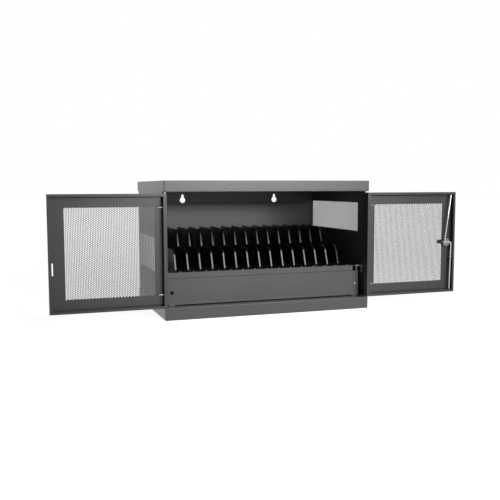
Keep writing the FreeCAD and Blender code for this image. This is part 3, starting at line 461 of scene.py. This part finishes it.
LOCK = Vector((640.0, -212.5, 210.5))
ROD_RADIUS = 2.5
ROD_Y = LOCK.y - 14.7
EYE_Y = LOCK.y - 13.7
ROD_EYE = [(2.06, 1.5), (4.1, 1.5), (4.5, 1.1), (4.5, -1.1), (4.1, -1.5), (2.06, -1.5),
           (2.06, 1.5)]
UPPER_EYE_X = 631.1
UPPER_PATH = [(631.62, ROD_Y, 214.4), (654.2, ROD_Y, 383.0)]
UPPER_BEND = 4.0
LOWER_EYE_X = 648.9
LOWER_PATH = [(652.6, ROD_Y, LOCK.z), (656.6, ROD_Y, LOCK.z), (652.5, ROD_Y, 39.0)]
LOWER_BEND = 3.4
ROSE = [(7.06, 4.0), (13.0, 4.0), (14.4, 3.6), (15.0, 2.5), (15.0, 0.0), (9.5, 0.0), (9.5, -7.5),
        (9.0, -8.0), (7.06, -8.0), (7.06, 4.0)]
HANDLE_BODY = [(0, 4.7), (4.06, 4.7), (4.06, 22.4), (4.4, 22.7), (5.9, 22.7), (6.5, 22.1),
               (6.5, 9.4), (7.2, 8.5), (9.2, 8.3), (10.0, 7.5), (10.0, 5.0), (9.3, 4.3),
               (7.0, 4.3), (7.0, -9.5), (6.5, -10.0), (2.05, -10.0), (2.05, -4.0), (0, -4.0)]
HANDLE_ARM = [(0, 4.8), (4.0, 4.8), (4.4, 6.2), (5.4, 7.6), (6.4, 9.2), (6.8, 11.2), (6.8, 13.4),
              (6.3, 15.3), (4.8, 16.5), (2.6, 17.0), (0, 17.0)]
ARM_REACH = Vector((0, 15.1, 0))


def lock_rod(name, path, bend, eye_x):
    """A lock rod along a path, with its eye."""
    bar = bent_rod(path, ROD_RADIUS, bend)
    eye = placed(turned(ROD_EYE), (eye_x, EYE_Y, LOCK.z), ALONG_Y)
    set_piece(f"{name}_lock_rod", together(bar, eye), f"{name}_rod", "plated_hardware",
              [f"{name}_rod"])


lock_rod("upper", UPPER_PATH, UPPER_BEND, UPPER_EYE_X)
lock_rod("lower", LOWER_PATH, LOWER_BEND, LOWER_EYE_X)
set_piece("lock_collar", placed(turned(ROSE, segments=48), LOCK, ALONG_Y), "right_door",
          "black_hardware", ["lock_rose"])
handle_parts = [placed(turned(HANDLE_BODY), LOCK, ALONG_Y)]
for way in WAYS:
    handle_parts.append(placed(turned(HANDLE_ARM), LOCK + ARM_REACH, (way, 0, 0)))
set_piece("turning_handle", together(*handle_parts), "handle", "black_hardware", ["t_handle"])

# Small turned pieces: rivets, studs, screws and the breaker's button

BACK_Y = 222.0
RIVET = [(0, 1.2), (1.2, 1.12), (2.2, 0.8), (2.8, 0.35), (3.0, 0.0), (0, 0.0)]
RIVET_X = 331.0
RIVET_LEVELS = [72.8 + number * 69.6 for number in range(5)]
STUD = [(0, 2.2), (4.1, 2.2), (5.0, 1.9), (5.4, 1.2), (5.5, 0.0), (0, 0.0)]
STUD_Y = -179.0
SHELF_TOP = 140.5
BAY_PITCH = 40.4
BAY_EDGES = range(-8, 9)
SCREW = [(4.0, 2.45), (4.9, 2.1), (5.35, 1.4), (5.5, 0.6), (5.5, 0.0), (2.5, 0.0), (2.5, -8.6),
         (2.1, -9.0), (0, -9.0)]
SCREW_X = 310.8
SCREW_Y = -187.0
SCREW_Z = 78.6
HEAD_TOP = 2.5
RECESS_REACH = 3.2
RECESS_HALF = 0.75
RECESS_DEPTH = 1.2
BUTTON = [(0, 2.2), (1.6, 2.1), (2.5, 1.7), (3.0, 0.9), (3.0, -20.0), (0, -20.0)]
BUTTON_X = 190.0
BUTTON_Z = 85.0

rivets = [placed(turned(RIVET, segments=20), (way * RIVET_X, BACK_Y, level), ALONG_Y)
          for way in WAYS for level in RIVET_LEVELS]
set_piece("domed_rivets", together(*rivets), "cabinet", "case_paint", ["back_rivets"])

studs = [placed(turned(STUD, segments=24), (edge * BAY_PITCH, STUD_Y, SHELF_TOP), (0, 0, 1))
         for edge in BAY_EDGES]
set_piece("stop_studs", together(*studs), "cabinet", "divider_plastic", ["shelf_studs"])


def cross_screw():
    """A pan head screw with a cross recess."""
    bm = turned(SCREW)
    rim = [edge for edge in bm.edges if edge.is_boundary]
    cross = bmesh.ops.create_circle(bm, segments=12, radius=1.0,
                                    matrix=Matrix.Rotation(math.radians(15), 4, "Z"))["verts"]

    def on_cross(value):
        return math.copysign(RECESS_REACH if abs(value) > 0.9 else RECESS_HALF, value)

    for vert in cross:
        vert.co = Vector((on_cross(vert.co.x), on_cross(vert.co.y), HEAD_TOP)) * MM
    outline = [edge for edge in bm.edges if set(edge.verts) <= set(cross)]
    bmesh.ops.bridge_loops(bm, edges=rim + outline)
    drawn = bmesh.ops.extrude_edge_only(bm, edges=outline)["geom"]
    bmesh.ops.translate(bm, vec=(0, 0, -RECESS_DEPTH * MM), verts=only_verts(drawn))
    bmesh.ops.holes_fill(bm, edges=ring_edges(drawn))
    bmesh.ops.recalc_face_normals(bm, faces=bm.faces[:])
    return bm


for way, side, slot in ((-1, "left", "black_hardware"), (1, "right", "plated_hardware")):
    screw = placed(cross_screw(), (way * SCREW_X, SCREW_Y, SCREW_Z), (0, -1, 0))
    piece = set_piece(f"{side}_panel_screw", screw, "cabinet", slot, [f"access_screw_{side}"])
    if side == "right":
        piece.data.materials[0] = dull_plate

button = placed(turned(BUTTON, segments=28), (BUTTON_X, BACK_Y, BUTTON_Z), ALONG_Y)
set_piece("reset_button", button, "breaker_button", "button_plastic", ["breaker_button"])

# Housings of the power strips

END_CAP = 4.0 * MM
CAP_STEP = 2.0 * MM
STRIP_ROUND = 5.0 * MM


def strip_housing(name):
    """The moulded housing of a power strip, with rounded edges and stepped ends."""
    low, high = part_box(f"power_strip_{name}")
    extent = high - low - Vector((2 * END_CAP, 0, 0))
    bm = bmesh.new()
    bmesh.ops.create_cube(bm, size=1.0)
    bmesh.ops.scale(bm, vec=extent, verts=bm.verts[:])
    bmesh.ops.translate(bm, vec=(low + high) / 2, verts=bm.verts[:])
    bevelled(bm, bm.edges[:], STRIP_ROUND, segments=4)
    for way in WAYS:
        ends = [face for face in bm.faces if face.normal.x * way > 0.999]
        bmesh.ops.inset_region(bm, faces=ends, thickness=CAP_STEP)
        drawn = bmesh.ops.extrude_face_region(bm, geom=ends)["geom"]
        bmesh.ops.delete(bm, geom=ends, context="FACES_ONLY")
        bmesh.ops.translate(bm, vec=(way * END_CAP, 0, 0), verts=only_verts(drawn))
    bmesh.ops.recalc_face_normals(bm, faces=bm.faces[:])
    set_piece(f"{name}_strip_housing", bm, "cabinet", "strip_plastic", [f"power_strip_{name}"])


for name in ("front", "rear"):
    strip_housing(name)


# Floor, light and camera, in metres

WHITE = (1.0, 1.0, 1.0, 1.0)
ROOM_FILL = 0.10
ROOM_GLOSS = (0.20, 1.0)
ROOM_GLOSS_SPAN = (-0.2, 0.3)
FLOOR_RADIUS = 30.0
FLOOR_COLOUR = (0.6, 0.6, 0.6, 1.0)
FLOOR_GLOW = (0.90, 1.00)
FLOOR_GLOW_SPAN = (1.2, 4.0)
FRONT_GLOSS = (0.90, 0.05)
FRONT_GLOSS_MIDDLE = 0.12
FRONT_GLOSS_SPAN = (0.47, 0.80)
REAR_GLOSS = (0.05, 0.66)
REAR_GLOSS_SPAN = (-0.5, 0.0)


def shown_rays(tree, path):
    """One for rays that the camera sends, straight or through something."""
    return worked_out(tree, "MAXIMUM", path["Is Camera Ray"], path["Is Transmission Ray"])


def studio_world():
    """A white backdrop, which gloss sees behind the object, in a dim room."""
    world = bpy.data.worlds.new("studio")
    world.use_nodes = True
    scene.world = world
    tree = world.node_tree

    def glowing(node, strength):
        node.inputs["Color"].default_value = WHITE
        feed(tree, strength, node.inputs["Strength"])
        return node.outputs["Background"]

    def chosen(factor, first, second):
        mix = tree.nodes.new("ShaderNodeMixShader")
        tree.links.new(factor, mix.inputs["Fac"])
        tree.links.new(first, mix.inputs[1])
        tree.links.new(second, mix.inputs[2])
        return mix.outputs["Shader"]

    path = tree.nodes.new("ShaderNodeLightPath").outputs
    direction = tree.nodes.new("ShaderNodeTexCoord").outputs["Generated"]
    behind = mapped(tree, split_up(tree, direction)["Y"], ROOM_GLOSS_SPAN, ROOM_GLOSS)
    fill = glowing(tree.nodes["Background"], ROOM_FILL)
    gloss = glowing(tree.nodes.new("ShaderNodeBackground"), behind)
    backdrop = glowing(tree.nodes.new("ShaderNodeBackground"), 1.0)
    room = chosen(path["Is Glossy Ray"], fill, gloss)
    tree.links.new(chosen(shown_rays(tree, path), room, backdrop),
                   tree.nodes["World Output"].inputs["Surface"])


def floor_finish():
    """A matt white that glows for the camera, and for gloss in front of and behind the object."""
    material = bpy.data.materials.new("white_floor")
    material.use_nodes = True
    tree = material.node_tree
    matt = tree.nodes["Principled BSDF"]
    matt.inputs["Base Color"].default_value = FLOOR_COLOUR
    matt.inputs["Roughness"].default_value = 0.9
    matt.inputs["Specular IOR Level"].default_value = 0.0
    path = tree.nodes.new("ShaderNodeLightPath").outputs
    place = tree.nodes.new("ShaderNodeTexCoord").outputs["Object"]
    away = tree.nodes.new("ShaderNodeVectorMath")
    away.operation = "LENGTH"
    tree.links.new(place, away.inputs[0])
    along = split_up(tree, place)
    aside = worked_out(tree, "SUBTRACT", along["X"], FRONT_GLOSS_MIDDLE)
    apart = worked_out(tree, "ABSOLUTE", aside)
    gloss = worked_out(tree, "MAXIMUM", mapped(tree, apart, FRONT_GLOSS_SPAN, FRONT_GLOSS),
                       mapped(tree, along["Y"], REAR_GLOSS_SPAN, REAR_GLOSS))
    shown = mapped(tree, away.outputs["Value"], FLOOR_GLOW_SPAN, FLOOR_GLOW)
    seen = worked_out(tree, "MULTIPLY", shown_rays(tree, path), shown)
    mirrored = worked_out(tree, "MULTIPLY", path["Is Glossy Ray"], gloss)
    glow = tree.nodes.new("ShaderNodeEmission")
    feed(tree, worked_out(tree, "MAXIMUM", seen, mirrored), glow.inputs["Strength"])
    both = tree.nodes.new("ShaderNodeAddShader")
    tree.links.new(matt.outputs["BSDF"], both.inputs[0])
    tree.links.new(glow.outputs["Emission"], both.inputs[1])
    tree.links.new(both.outputs["Shader"], tree.nodes["Material Output"].inputs["Surface"])
    return material


def studio_floor():
    """A floor that shows white, with the object's shadow on it."""
    bm = bmesh.new()
    bmesh.ops.create_circle(bm, cap_ends=True, segments=96, radius=FLOOR_RADIUS)
    mesh = bpy.data.meshes.new("floor")
    bm.to_mesh(mesh)
    bm.free()
    mesh.materials.append(floor_finish())
    floor = bpy.data.objects.new("floor", mesh)
    scene.collection.objects.link(floor)


def softbox(name, place, target, width, tall, power):
    """A rectangular area lamp that faces a target."""
    lamp = bpy.data.lights.new(name, "AREA")
    lamp.shape = "RECTANGLE"
    lamp.size = width
    lamp.size_y = tall
    lamp.energy = power
    holder = bpy.data.objects.new(name, lamp)
    holder.location = place
    aim = Vector(target) - Vector(place)
    holder.rotation_euler = aim.to_track_quat("-Z", "Y").to_euler()
    scene.collection.objects.link(holder)


studio_world()
studio_floor()
softbox("high_softbox", place=(0.90, -2.70, 1.80), target=(0.0, -0.2, 0.2), width=2.2, tall=1.3,
        power=36.0)
softbox("front_softbox", place=(0.77, -2.70, 0.84), target=(0.0, -0.2, 0.3), width=1.6, tall=0.38,
        power=56.0)

# The camera that the photograph's perspective gives, with angles in radians
CAMERA_PLACE = Vector((-0.76498, -2.24221, 0.40054))
CAMERA_YAW = 0.330939
CAMERA_PITCH = -0.090961
CAMERA_ROLL = -0.002431
FOCAL_LENGTH = 49.81
SENSOR_WIDTH = 36.0

lens = bpy.data.cameras.new("camera")
lens.lens = FOCAL_LENGTH
lens.sensor_width = SENSOR_WIDTH
camera = bpy.data.objects.new("camera", lens)
camera.matrix_world = (Matrix.Translation(CAMERA_PLACE) @ Matrix.Rotation(-CAMERA_YAW, 4, "Z")
                       @ Matrix.Rotation(math.pi / 2 + CAMERA_PITCH, 4, "X")
                       @ Matrix.Rotation(CAMERA_ROLL, 4, "Z"))
scene.collection.objects.link(camera)
scene.camera = camera
